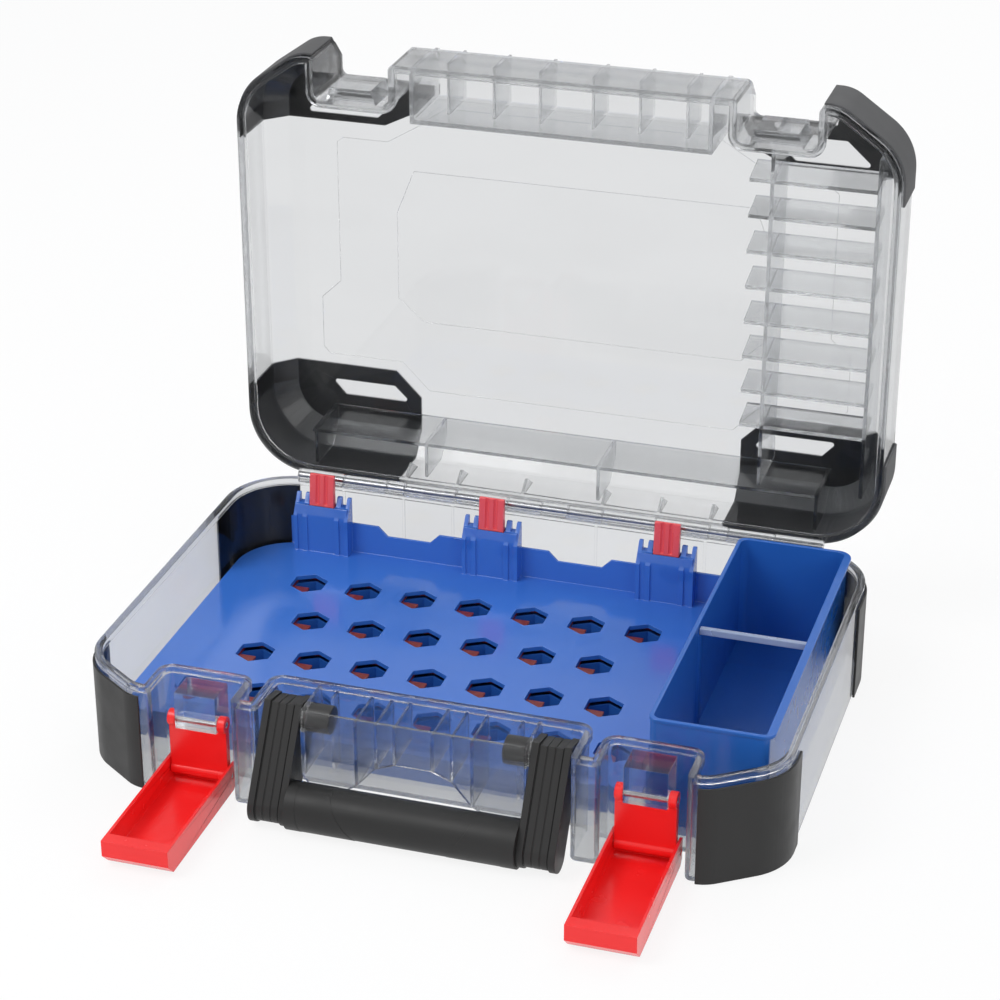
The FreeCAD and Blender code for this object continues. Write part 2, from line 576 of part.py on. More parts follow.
def lid_shelf():
    """The shelf along the hinge side of the lid, with its dividers."""
    span = (from_hinge("shelf_place + shelf_thick / 2"), from_hinge("shelf_place - shelf_thick / 2"))
    plate = block("shelf_plate", ("-shelf_half", "shelf_half"), span,
                  (above_rim("shelf_start"), LID_HIGH))
    pieces = [plate]
    for share in SHELF_DIVIDER_SHARES:
        middle = f"shelf_half * ({share})"
        pieces.append(block("shelf_divider", (f"{middle} - divider_thick / 2",
                                              f"{middle} + divider_thick / 2"),
                            (span[0], from_hinge("divider_back")),
                            (above_rim("divider_start"), LID_HIGH)))
    shelf = common("lid_shelf_solid", fuse("shelf_solid", pieces), lid_room("shelf_room"))
    node(open_lid(shelf), "lid_shelf")


def blade_rack():
    """The ladder of leaning slats in the lid."""
    low = above_rim("rack_start")
    high = above_rim("rack_start + rack_deep")
    span = (from_hinge("rack_far"), from_hinge("rack_near"))
    pieces = [block("rack_rail_a", (RACK_RAIL, f"{RACK_RAIL} + rack_rail_thick"), span,
                    (low, f"{LID_INNER_TOP} - fit_gap")),
              block("rack_rail_b", (f"{RACK_RIGHT} - rack_rail_thick", RACK_RIGHT), span,
                    (low, f"{LID_INNER_TOP} - fit_gap"))]
    for number in range(int(value("rack_count"))):
        near = f"rack_first + {number} * rack_pitch"
        pieces.append(prism("rack_slat", "YZ", [
            (from_hinge(f"{near} + rack_slat"), low), (from_hinge(near), low),
            (from_hinge(f"{near} + rack_lean"), high),
            (from_hinge(f"{near} + rack_lean + rack_slat"), high)], RACK_LEFT, RACK_RIGHT))
    rack = common("blade_rack_solid", fuse("rack_solid", pieces), lid_room("rack_room"))
    node(open_lid(rack), "blade_rack")


def hole_places():
    """X and Y of each hole of the insert."""
    for number, (first, count) in enumerate(ROWS):
        for step in range(count):
            yield (f"{HOLE_MIDDLE} + ({first + step}) * hole_pitch",
                   from_front(f"first_row + {number} * row_pitch"))


def tab_places():
    middle = f"{HOLE_MIDDLE} - socket_shift"
    return (("left", f"({middle} - socket_pitch)"), ("centre", f"({middle})"),
            ("right", f"({middle} + socket_pitch)"))


ROOM_INSET = "(rim_width + fit_gap)"
ROOM_BACK = f"({BACK} - rim_width - fit_gap)"
ROOM_LEFT = f"(rim_width + fit_gap - {SIDE})"
SOCKET_FRONT = "(-case_depth / 2 + socket_front)"
TAB_FRONT = "(-case_depth / 2 + socket_front + socket_front_wall + fit_gap)"
TAB_BACK = "(-case_depth / 2 + socket_front + socket_front_wall + fit_gap + tab_thick)"
PLATE_TOP = "(deck_top - deck_thick - plate_gap)"
PLATE_BACK = "(-case_depth / 2 + plate_back)"
# The tab's wedge and the plate's ramp stay parallel at 45 degrees, a fit's gap apart.
TAB_LOW = f"({PLATE_TOP} - plate_thick + {PLATE_BACK} - {TAB_BACK} + fit_gap * sqrt(2))"


def tab_socket(middle):
    """One socket: a body with a sloped face and two proud ridges each side."""
    low = "deck_top - deck_thick / 2"
    face = [(ROOM_BACK, low), (ROOM_BACK, "socket_face_top"),
            (f"{SOCKET_FRONT} + socket_face_deep", "socket_face_top"),
            (SOCKET_FRONT, "socket_face_top - socket_face_fall"), (SOCKET_FRONT, low)]
    ridge = [(ROOM_BACK, low), (ROOM_BACK, "socket_top"),
             (f"{SOCKET_FRONT} + socket_chamfer_deep", "socket_top"),
             (f"{SOCKET_FRONT} - socket_ridge", "socket_top - socket_chamfer_tall"),
             (f"{SOCKET_FRONT} - socket_ridge", low)]
    pieces = [prism("socket_body", "YZ", face, f"{middle} - socket_half + socket_ridge",
                    f"{middle} + socket_half - socket_ridge")]
    for side in (-1, 1):
        for near, far in (("socket_half - socket_outer_wall", "socket_half"),
                          ("socket_inner_start", "socket_inner_start + socket_inner_wall")):
            edges = sorted((f"{side} * ({near})", f"{side} * ({far})"), key=value)
            pieces.append(prism("socket_wall", "YZ", ridge, f"{middle} + {edges[0]}",
                                f"{middle} + {edges[1]}"))
    return pieces


def tab_rooms(middle):
    """The slot for a tab in its socket and the two slots for its legs in the deck."""
    depth = (f"{TAB_FRONT} - fit_gap", f"{TAB_BACK} + fit_gap")
    rooms = [block("tab_slot", (f"{middle} - tab_width / 2 - fit_gap",
                                f"{middle} + tab_width / 2 + fit_gap"), depth,
                   ("deck_top", "socket_top + overrun"))]
    for side in (-1, 1):
        edges = sorted((f"{side} * (tab_window / 2 - fit_gap)",
                        f"{side} * (tab_width / 2 + fit_gap)"), key=value)
        rooms.append(block("leg_slot", (f"{middle} + {edges[0]}", f"{middle} + {edges[1]}"),
                           depth, ("floor_thick", "deck_top + overrun")))
    return rooms


def hole_tray():
    """The insert: deck, skirt, upstand, sockets and the guides that carry the lock plate."""
    across = (ROOM_LEFT, DECK_RIGHT)
    depth = (from_front("deck_front"), ROOM_BACK)
    room = hull("tray_room", ROOM_INSET, "floor_thick", "socket_top + overrun")
    body = common("tray_body", block("tray_block", across, depth, ("floor_thick", "deck_top")), room)
    hollow_room = hull("tray_hollow_room", f"{ROOM_INSET} + skirt_thick", "0", "socket_top")
    hollow = common("tray_hollow", block("tray_hollow_block",
                                         (f"{across[0]} + skirt_thick", f"{DECK_RIGHT} - skirt_thick"),
                                         (f"{depth[0]} + skirt_thick", f"{ROOM_BACK} - skirt_thick"),
                                         ("floor_thick - overrun", "deck_top - deck_thick")),
                    hollow_room)
    pieces = [cut("tray_shell", body, [hollow])]
    raised = [block("upstand", across, (f"{ROOM_BACK} - upstand_thick", ROOM_BACK),
                    ("deck_top - deck_thick / 2", "upstand_top"))]
    for _, middle in tab_places():
        raised += tab_socket(middle)
        half = "(socket_half + upstand_step)"
        foot = "(socket_half + upstand_step + upstand_high - upstand_top)"
        raised.append(prism("upstand_step", "XZ", [
            (f"{middle} - {foot}", "deck_top"), (f"{middle} + {foot}", "deck_top"),
            (f"{middle} + {foot}", "upstand_top"), (f"{middle} + {half}", "upstand_high"),
            (f"{middle} - {half}", "upstand_high"), (f"{middle} - {foot}", "upstand_top")],
            f"{ROOM_BACK} - upstand_thick", ROOM_BACK))
    pieces.append(common("tray_raised", fuse("tray_raised_solid", raised), room))
    guide_low = f"{PLATE_TOP} - plate_thick - fit_gap - guide_thick"
    guide_span = (from_front("guide_front"), from_front("guide_back"))
    for side, edge in ((-1, PLATE_LEFT), (1, PLATE_RIGHT)):
        web = sorted((f"{edge} + {side} * fit_gap", f"{edge} + {side} * (fit_gap + guide_thick)"),
                     key=value)
        foot = sorted((f"{edge} - {side} * guide_reach",
                       f"{edge} + {side} * (fit_gap + guide_thick)"), key=value)
        pieces.append(block("guide_web", web, guide_span,
                            (guide_low, "deck_top - deck_thick / 2")))
        pieces.append(block("guide_foot", foot, guide_span,
                            (guide_low, f"{guide_low} + guide_thick")))
    tools = []
    for x, y in hole_places():
        hexagon = DOC.addObject("Part::Prism", "hole")
        hexagon.Polygon = 6
        bind(hexagon, Circumradius="hole_radius", Height="deck_top + overrun")
        place(hexagon, x, y, "floor_thick")
        hexagon.Placement = FreeCAD.Placement(
            hexagon.Placement.Base, FreeCAD.Rotation(VECTOR(0, 0, 1), 180 / hexagon.Polygon))
        tools.append(hexagon)
    for _, middle in tab_places():
        tools += tab_rooms(middle)
    node(cut("hole_tray", fuse("tray_solid", pieces), tools), "hole_tray")


def release_tab(word, middle):
    """A tab with two legs, wedged at their ends, and three ribs on its leaning face."""
    profile = [(TAB_BACK, TAB_LOW), (TAB_BACK, "tab_top"), (f"{TAB_FRONT} + tab_lean", "tab_top"),
               (TAB_FRONT, "tab_bend"), (TAB_FRONT, f"{TAB_LOW} + tab_thick")]
    plate = prism(f"tab_{word}_plate", "YZ", profile, f"{middle} - tab_width / 2",
                  f"{middle} + tab_width / 2")
    tools = [block("tab_window", (f"{middle} - tab_window / 2", f"{middle} + tab_window / 2"),
                   (f"{TAB_FRONT} - overrun", f"{TAB_BACK} + overrun"),
                   (f"{TAB_LOW} - overrun", "tab_window_top"))]
    for side in (-1, 1):
        groove = post("tab_line", f"{middle} + {side} * tab_groove_pitch / 2", TAB_FRONT,
                      ("tab_bend", "tab_top + overrun"), "tab_groove")
        groove.Placement = FreeCAD.Placement(groove.Placement.Base,
                                             FreeCAD.Rotation(VECTOR(-1, 0, 0), 1))
        bind(groove, Placement__Rotation__Angle="atan(tab_lean / (tab_top - tab_bend))")
        tools.append(groove)
    node(cut(f"release_tab_{word}_solid", plate, tools), f"release_tab_{word}")


def tab_spring(word, middle):
    """The space of a tab's return spring, a plain sleeve out of sight in the socket."""
    centre = f"({TAB_FRONT} + tab_thick / 2)"
    height = ("deck_top + run_gap", "tab_window_top - run_gap")
    sleeve = post(f"spring_{word}_outer", middle, centre, height, "spring_radius")
    bore = post(f"spring_{word}_bore", middle, centre, ("deck_top - overrun", "tab_top"),
                "spring_bore")
    node(cut(f"tab_spring_{word}_solid", sleeve, [bore]), f"tab_spring_{word}")


def lock_plate():
    """The sliding plate under the holes, with a tongue in each window and a ramp behind."""
    outline = [(PLATE_LEFT, from_front("plate_front")), (PLATE_RIGHT, from_front("plate_front")),
               (PLATE_RIGHT, PLATE_BACK), (f"{PLATE_LEFT} + plate_corner_x", PLATE_BACK),
               (PLATE_LEFT, f"{PLATE_BACK} - plate_corner_y")]
    plate = prism("plate_body", "XY", outline, f"{PLATE_TOP} - plate_thick", PLATE_TOP)
    ramp = prism("plate_ramp", "YZ", [(f"{PLATE_BACK} - plate_thick", PLATE_TOP),
                                      (f"{PLATE_BACK} + overrun", f"{PLATE_TOP} - plate_thick - overrun"),
                                      (f"{PLATE_BACK} + overrun", PLATE_TOP)],
                 f"{PLATE_LEFT} - overrun", f"{PLATE_RIGHT} + overrun")
    tools = [ramp]
    depth = (f"{PLATE_TOP} - plate_thick - overrun", f"{PLATE_TOP} + overrun")
    for x, y in hole_places():
        tools.append(block("window_behind_tongue", (f"{x} - window_half", f"{x} + window_half"),
                           (f"{y} - tongue_edge", f"{y} + window_back"), depth))
        tools.append(block("window_beside_tongue", (f"{x} + tongue_side", f"{x} + window_half"),
                           (f"{y} - window_front", f"{y} - tongue_edge + fit_gap"), depth))
    node(cut("lock_plate", plate, tools), "lock_plate")


def bin_outline(inset):
    """The bin's plan, set in from its rim, with its four different corner rounds."""
    left = f"{BIN_LEFT} + {inset[0]}"
    right = f"{BIN_RIGHT} - ({inset[1]})"
    front = f"{FRONT} + bin_front + {inset[0]}"
    back = f"{FRONT} + bin_back - ({inset[0]})"
    return [(left, front, f"bin_small_round - ({inset[0]}) / 2"),
            (right, front, f"bin_front_round - ({inset[1]})"),
            (right, back, f"bin_back_round - ({inset[1]})"),
            (left, back, f"bin_small_round - ({inset[0]}) / 2")]


def storage_bin():
    """The bin, with a flange round its rim and guides for its divider."""
    flange = prism("bin_flange", "XY", bin_outline(("0", "0")), "bin_top - bin_flange_thick",
                   "bin_top")
    walls = prism("bin_walls", "XY", bin_outline(("bin_flange_left", "bin_flange_right")),
                  "floor_thick", "bin_top")
    inside = ("bin_flange_left + bin_wall", "bin_flange_right + bin_wall")
    cavity = prism("bin_cavity", "XY", bin_outline(inside), "floor_thick + bin_floor",
                   "bin_top + overrun")
    pieces = [cut("bin_hollow", fuse("bin_solid", [flange, walls]), [cavity])]
    inner = {"left": (f"{BIN_LEFT} + {inside[0]} - run_gap",
                      f"{BIN_LEFT} + {inside[0]} + bin_guide"),
             "right": (f"{BIN_RIGHT} - ({inside[1]}) - bin_guide",
                       f"{BIN_RIGHT} - ({inside[1]}) + run_gap")}
    middle = from_front("divider_place")
    half = "(bin_divider_thick / 2 + fit_gap)"
    tall = ("floor_thick + bin_floor / 2", "bin_divider_top - divider_bead_tall - fit_gap")
    for span in inner.values():
        for near in (f"{middle} - {half} - bin_guide", f"{middle} + {half}"):
            pieces.append(block("bin_guide_rib", span, (near, f"{near} + bin_guide"), tall))
    node(fuse("bin", pieces), "bin")
    width = (f"{BIN_LEFT} + {inside[0]} + fit_gap", f"{BIN_RIGHT} - ({inside[1]}) - fit_gap")
    plate = block("bin_divider_plate", width,
                  (f"{middle} - bin_divider_thick / 2", f"{middle} + bin_divider_thick / 2"),
                  ("floor_thick + bin_floor", "bin_divider_top"))
    bead = block("bin_divider_bead", width,
                 (f"{middle} - divider_bead_thick / 2", f"{middle} + divider_bead_thick / 2"),
                 ("bin_divider_top - divider_bead_tall", "bin_divider_top"))
    node(fuse("bin_divider_solid", [plate, bead]), "bin_divider")


def hang_handle(feature):
    """Hang a piece of the handle from its pivot and tilt it outwards."""
    turn = FreeCAD.Rotation(VECTOR(-1, 0, 0), SIZES["handle_tilt"])
    feature.Placement = FreeCAD.Placement(VECTOR(), turn)
    bind(feature, Placement__Rotation__Angle="handle_tilt")
    place(feature, "0", from_front("handle_pivot_back"), "handle_pivot_height")
    return feature


def handle_frame(gap):
    """The stiff inside of the handle, grown by a gap where it cuts its sleeves."""
    pieces = [rod("core_bar", (f"-core_outer - {gap}", f"core_outer + {gap}"), "0", "-grip_drop",
                  f"core_bar_radius + {gap}")]
    for side in (-1, 1):
        boss = sorted((f"{side} * boss_inner", f"{side} * (boss_outer + {gap})"), key=value)
        arm = sorted((f"{side} * (boss_outer - {gap})", f"{side} * (core_outer + {gap})"), key=value)
        pieces.append(rod("core_boss", boss, "0", "0", f"boss_radius + {gap}"))
        pieces.append(block("core_arm", arm, (f"-core_half_thick - {gap}", f"core_half_thick + {gap}"),
                            ("-grip_drop", f"boss_radius / 2 + {gap}")))
    return fuse("core_frame", pieces)


def arm_outline(inset):
    """An arm's side view, set in from its largest rib: a sloped head and a round foot."""
    front = f"{inset} - arm_front"
    back = f"arm_back - {inset}"
    foot = f"{inset} - grip_drop - arm_bottom"
    top = f"arm_top - {inset}"
    return [(front, foot, f"arm_round - {inset}"), (back, foot, f"arm_round - {inset}"),
            (back, f"{top} - arm_top_fall"), ("arm_top_front", top), (front, f"{top} - arm_shoulder")]


def handle_parts():
    """The handle: a stiff core, a soft round grip and two arm sleeves of upright ribs."""
    node(hang_handle(handle_frame("0")), "handle_core")
    grip = rod("grip_body", ("-arm_inner", "arm_inner"), "0", "-grip_drop", "grip_radius")
    node(hang_handle(cut("grip_solid", grip, [handle_frame("run_gap")])), "grip_sleeve")
    last = int(value("rib_count")) - 1
    pitch = "(arm_outer - arm_inner + rib_groove) / rib_count"
    for side, word in ((-1, "left"), (1, "right")):
        whole = sorted((f"{side} * arm_inner", f"{side} * arm_outer"), key=value)
        pieces = [prism("arm_body", "YZ", arm_outline("rib_groove_deep"), whole[0], whole[1])]
        for number in range(last + 1):
            near = f"{whole[0]} + {number} * {pitch}"
            inset = "0" if number in (0, last) else "rib_inset"
            pieces.append(prism("arm_rib", "YZ", arm_outline(inset), near,
                                f"{near} + {pitch} - rib_groove"))
        sleeve = cut(f"arm_sleeve_{word}_solid", fuse("arm_solid", pieces),
                     [handle_frame("run_gap")])
        node(hang_handle(sleeve), f"arm_sleeve_{word}")


def latch_link(side, word):
    """The link: two ears on the rod, a plate and a barrel at its foot."""
    middle = f"{side} * {LATCH}"
    across = (f"{middle} - link_half", f"{middle} + link_half")
    depth = (from_front("rod_back - link_thick / 2"), from_front("rod_back + link_thick / 2"))
    pieces = [block("link_plate", across, depth, ("pivot_height", "lug_low - fit_gap * 2")),
              rod("link_barrel", across, from_front("rod_back"), "pivot_height", "barrel_radius")]
    for end in (-1, 1):
        ear = sorted((f"{middle} + {end} * ear_inner", f"{middle} + {end} * link_half"), key=value)
        pieces.append(block("link_ear", ear, depth, ("lug_low - overrun", "rod_height")))
        pieces.append(rod("link_ear_top", ear, from_front("rod_back"), "rod_height", "ear_radius"))
    bores = [rod("link_bore", (f"{across[0]} - overrun", f"{across[1]} + overrun"),
                 from_front("rod_back"), height, f"{radius} + run_gap")
             for height, radius in (("rod_height", "rod_radius"), ("pivot_height", "pivot_radius"))]
    node(cut(f"latch_link_{word}_solid", fuse("link_solid", pieces), bores), f"latch_link_{word}")
    node(rod(f"latch_rod_{word}_solid", across, from_front("rod_back"), "rod_height", "rod_radius"),
         f"latch_rod_{word}")


def latch_lever(side, word):
    """The lever: an open tray with a hooking tip, and the pin that joins it to the link."""
    middle = f"{side} * {LATCH}"
    pivot = from_front("rod_back")
    heel = f"{pivot} + lever_heel"
    tip = f"{pivot} - lever_reach"
    profile = [(heel, "lever_top"), (tip, "lever_top"), (tip, "lever_low + tip_chamfer"),
               (f"{tip} + tip_chamfer", "lever_low"), (f"{heel} - heel_chamfer", "lever_low"),
               (heel, "lever_low + heel_chamfer")]
    body = prism("lever_body", "YZ", profile, f"{middle} - lever_half", f"{middle} + lever_half")
    inner = (f"{middle} - lever_half + lever_wall", f"{middle} + lever_half - lever_wall")
    hollow = prism("lever_hollow", "YZ", [
        (f"{heel} + overrun", "lever_top + overrun"), (f"{tip} + tip_wall + tip_lip", "lever_top + overrun"),
        (f"{tip} + tip_wall + tip_lip", "lever_top - tip_lip_tall"),
        (f"{tip} + tip_wall", "lever_top - tip_lip_tall"),
        (f"{tip} + tip_wall", "lever_low + tip_chamfer"),
        (f"{tip} + tip_wall + tip_chamfer - lever_floor", "lever_low + lever_floor"),
        (f"{heel} - heel_lip", "lever_low + lever_floor"), (f"{heel} - heel_lip", "heel_lip_top"),
        (f"{heel} + overrun", "heel_lip_top")], inner[0], inner[1])
    bore = rod("lever_bore", (f"{middle} - lever_half - overrun", f"{middle} + lever_half + overrun"),
               pivot, "pivot_height", "pivot_radius + run_gap")
    node(cut(f"latch_lever_{word}_solid", body, [hollow, bore]), f"latch_lever_{word}")
    node(rod(f"latch_pivot_pin_{word}_solid", (f"{middle} - lever_half + fit_gap",
                                               f"{middle} + lever_half - fit_gap"), pivot,
             "pivot_height", "pivot_radius"), f"latch_pivot_pin_{word}")


def write_parts():
    """Check every object and write each sub-part to its own file."""
    DOC.recompute()
    bad = [item.Label for item in DOC.Objects if {"Invalid", "Error"} & set(item.State)]
    if bad:
        raise RuntimeError("failed objects: " + ", ".join(bad))
    os.makedirs("parts", exist_ok=True)
    for item in NODES:
        shape = item.Shape
        if shape.isNull() or not shape.isValid():
            raise RuntimeError("bad shape: " + item.Label)
        shape.exportStep(f"parts/{item.Label}.step")
        box = shape.BoundBox
        print(f"{item.Label}: {len(shape.Solids)} solids, {shape.Volume:.0f} mm3, "
              f"x {box.XMin:.1f} {box.XMax:.1f}, y {box.YMin:.1f} {box.YMax:.1f}, "
              f"z {box.ZMin:.1f} {box.ZMax:.1f}")


base_shell()
lid_shell()
node(rod("hinge_pin", ("-hinge_half", "hinge_half"), HINGE, "base_height", "hinge_pin_radius"),
     "hinge_pin")
base_guards()
lid_guards()
lid_shelf()
blade_rack()
hole_tray()
for tab_word, tab_middle in tab_places():
    release_tab(tab_word, tab_middle)
    tab_spring(tab_word, tab_middle)
lock_plate()
storage_bin()
handle_parts()
for latch_side, latch_word in ((-1, "left"), (1, "right")):
    latch_link(latch_side, latch_word)
    latch_lever(latch_side, latch_word)
write_parts()
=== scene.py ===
"""Clear storage case lying open, with its blue insert, bin, red latches and black handle."""
import json
import math

import bmesh
import bpy
from mathutils import Matrix, Vector


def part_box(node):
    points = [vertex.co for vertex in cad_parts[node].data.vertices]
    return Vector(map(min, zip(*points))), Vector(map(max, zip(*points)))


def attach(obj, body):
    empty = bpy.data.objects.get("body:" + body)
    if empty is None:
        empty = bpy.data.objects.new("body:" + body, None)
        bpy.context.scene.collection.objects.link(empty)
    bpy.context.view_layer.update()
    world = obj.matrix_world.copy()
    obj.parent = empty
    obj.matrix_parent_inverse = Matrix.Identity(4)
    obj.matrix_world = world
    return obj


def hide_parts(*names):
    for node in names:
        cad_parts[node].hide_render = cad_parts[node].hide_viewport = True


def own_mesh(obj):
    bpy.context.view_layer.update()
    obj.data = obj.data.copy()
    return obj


MM = 0.001

# Which finish each CAD node has.
NODE_SLOTS = {
    "clear_plastic": ["base_shell", "lid_shell", "lid_shelf", "blade_rack"],
    "black_rubber": ["bumper_base_front_left", "bumper_base_front_right", "bumper_base_rear_left",
                     "bumper_base_rear_right", "bumper_lid_front_left", "bumper_lid_front_right",
                     "bumper_lid_rear_left", "bumper_lid_rear_right", "grip_sleeve",
                     "arm_sleeve_left", "arm_sleeve_right"],
    "handle_plastic": ["handle_core"],
    "tray_blue": ["hole_tray"],
    "bin_blue": ["bin"],
    "pale_plastic": ["bin_divider"],
    "latch_red": ["latch_link_left", "latch_link_right", "latch_lever_left",
                  "latch_lever_right"],
    "tab_red": ["release_tab_left", "release_tab_centre", "release_tab_right", "lock_plate"],
    "steel": ["hinge_pin", "latch_rod_left", "latch_rod_right", "latch_pivot_pin_left",
              "latch_pivot_pin_right", "tab_spring_left", "tab_spring_centre",
              "tab_spring_right"],
}

# Guards that sit outside the clear lid and are seen through it. They are black rubber; their
# lighter grey is painted reflection of the clear lid in front of them.
LID_GUARDS = ("bumper_lid_front_left", "bumper_lid_front_right", "bumper_lid_rear_left",
              "bumper_lid_rear_right")

# Edge rounding of each piece in millimetres. A piece that isn't named takes the plain one.
EDGE_ROUNDS = {"grip_sleeve": 0.3, "arm_sleeve_left": 0.2, "arm_sleeve_right": 0.2,
               "latch_lever_left": 0.2, "latch_lever_right": 0.2,
               "latch_link_left": 0.4, "latch_link_right": 0.4,
               "handle_core": 0.8, "bin": 0.35, "hole_tray": 0.3}
PLAIN_ROUND = 0.3
ROUND_STEPS = 2
ROUND_ANGLE = 30.0
SMOOTH_ANGLE = 35.0
MERGE_DISTANCE = 0.002

# Moulded plastics and rubber: dark and light tone, roughness from and to, grain size, grain
# depth and shine.
MOULDED = {
    "black_rubber": ("soft_black", (0.016, 0.016, 0.016), (0.019, 0.019, 0.019),
                     (0.42, 0.52), 1400.0, 0.30, 0.36),
    "handle_plastic": ("hard_black", (0.019, 0.019, 0.020), (0.023, 0.023, 0.024),
                       (0.32, 0.42), 900.0, 0.2, 0.5),
    "tray_blue": ("insert_blue", (0.038, 0.158, 0.59), (0.041, 0.166, 0.61),
                  (0.13, 0.18), 500.0, 0.05, 1.0),
    "bin_blue": ("bin_blue", (0.022, 0.128, 0.49), (0.025, 0.136, 0.51),
                 (0.16, 0.22), 500.0, 0.05, 0.5),
    "latch_red": ("latch_red", (0.90, 0.016, 0.017), (0.94, 0.019, 0.020),
                  (0.20, 0.28), 600.0, 0.05, 0.5),
    # The tabs' red is their own; its lift towards pink is painted highlight from bright light.
    "tab_red": ("tab_red", (0.94, 0.105, 0.115), (0.97, 0.118, 0.128),
                (0.22, 0.30), 600.0, 0.05, 0.5),
}
# The lid guards: black rubber lightened to grey, a painted reflection of the clear lid that they
# are seen through.
LID_GUARD_PAINTED_REFLECTION = ("lid_guard_painted_reflection", (0.100, 0.100, 0.102), (0.112, 0.112, 0.114),
                    (0.70, 0.80), 1400.0, 0.30, 0.25)
# The lock plate under the insert: its red is darkened to the shaded red seen down the holes, which
# is painted shade.
LOCK_PAINTED_SHADE = ("lock_painted_shade", (0.16, 0.008, 0.006), (0.18, 0.010, 0.008),
               (0.30, 0.40), 600.0, 0.05, 0.5)
CUP_FINISH = ("sleeve_blue", (0.020, 0.110, 0.43), (0.022, 0.118, 0.45),
              (0.30, 0.40), 500.0, 0.05, 0.5)
PATCH_SCALE = 18.0
GRAIN_HEIGHT = 0.00006

# Clear plastics: dark and light tone, index of refraction, colour and density of their depth.
CASE_FINISH = ("clear_case", (0.74, 0.745, 0.75), (0.77, 0.775, 0.78), 1.32,
               (0.50, 0.52, 0.55), 14.0)
DIVIDER_FINISH = ("divider_clear", (0.80, 0.82, 0.86), (0.83, 0.85, 0.88), 1.30,
                  (0.50, 0.54, 0.62), 16.0)
CLEAR_GLOSS = (0.01, 0.03)
WAVE_HEIGHT = 0.00004
THROUGH_TONE = (0.88, 0.89, 0.90, 1.0)

# The part of a clear wall that shows what is behind it unbent.
THIN_SHARE = 0.18

# The tabs by their places; each has a return spring.
TAB_WORDS = ("left", "centre", "right")

# Drawn steel and the pale bead of the divider.
STEEL_TONES = ((0.52, 0.52, 0.54), (0.74, 0.74, 0.76))
STEEL_GLOSS = (0.16, 0.34)
BEAD_TONES = ((0.50, 0.60, 0.80), (0.58, 0.66, 0.84))
BEAD_GLOSS = (0.18, 0.32)
BEAD_CLEAR_SHARE = 0.45
BEAD_BEND = 1.3

# The bead's height on the divider, in millimetres.
BEAD_TALL = 3.7

# Cups and their sheet under the insert's holes, in millimetres: rows as in the insert, from
# the front, each with its first place in pitches and its count.
HOLE_ROWS = ((-3.5, 8), (-3.0, 7), (-2.5, 6), (-3.0, 7))
HOLE_MIDDLE = -31.2
HOLE_PITCH = 32.0
FIRST_ROW = -47.6
ROW_PITCH = 40.0
CUP_SIDES = 6
CUP_RADIUS = 11.5
CUP_WALL = 0.9
CUP_LOW = 2.7
CUP_TOP = 13.1
CUP_FLOOR = 0.9
SHEET_LOW = (-166.0, -74.0, 2.3)
SHEET_HIGH = (100.0, 106.0, 3.1)
SHEET_CORNER = 22.0

# Collars at the grip's ends, in millimetres and degrees, in the hanging handle. Each has its
# length and the slant of its inner edge.
GRIP_HALF = 58.4
GRIP_RADIUS = 12.0
GRIP_DROP = 43.8
HANDLE_TILT = 32.0
HANDLE_PIVOT = (0.0, -110.5, 49.5)
COLLAR_PROUD = 0.12
COLLARS = ((5.0, 2.5), (22.0, 13.0))
COLLAR_SEGMENTS = 72

# Floor and world of the picture.
FLOOR_RADIUS = 6.0
FLOOR_SIDES = 96
FLOOR_DROP = 0.0004
FLOOR_TONE = (0.93, 0.93, 0.93, 1.0)
FLOOR_ROUGHNESS = 0.9
FLOOR_WHITE_SHARE = 0.86
WORLD_TONE = (0.95, 0.97, 1.0, 1.0)
WORLD_STRENGTH = 0.62

# Lamps: place and target in metres, side length and power.
LAMPS = (("key_lamp", (-0.9, -0.8, 1.5), (0.0, 0.0, 0.08), 0.9, 14.0),
         ("fill_lamp", (1.2, -0.9, 0.9), (0.0, 0.0, 0.1), 0.9, 4.0),
         ("back_lamp", (0.3, 1.3, 1.4), (0.0, 0.1, 0.15), 1.0, 6.0))

# The camera at the photograph's viewing angle, in metres, degrees and millimetres of lens.
CAMERA_PLACE = (0.38097, -1.2030, 0.75612)
CAMERA_TURN = (63.358, 0.0, 17.287)
CAMERA_LENS = 100.64
CAMERA_SENSOR = 36.0

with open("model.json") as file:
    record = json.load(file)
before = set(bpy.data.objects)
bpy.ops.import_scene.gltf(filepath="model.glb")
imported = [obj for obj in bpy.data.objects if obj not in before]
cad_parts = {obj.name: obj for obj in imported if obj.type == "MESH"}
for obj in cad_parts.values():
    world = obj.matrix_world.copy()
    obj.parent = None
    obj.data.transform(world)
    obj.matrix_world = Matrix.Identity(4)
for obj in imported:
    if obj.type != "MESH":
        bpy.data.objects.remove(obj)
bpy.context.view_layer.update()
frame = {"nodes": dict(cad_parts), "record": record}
BODY_OF = {node: body for body, nodes in frame["record"]["behaviour"]["bodies"].items()
           for node in nodes}
SLOT_OF = {node: slot for slot, nodes in NODE_SLOTS.items() for node in nodes}


def new_material(name):
    """A material with its shader, its output and its node tree."""
    material = bpy.data.materials.new(name)
    material.use_nodes = True
    tree = material.node_tree
    tree.nodes.clear()
    output = tree.nodes.new("ShaderNodeOutputMaterial")
    shader = tree.nodes.new("ShaderNodeBsdfPrincipled")
    tree.links.new(shader.outputs["BSDF"], output.inputs["Surface"])
    return material, tree, shader, output


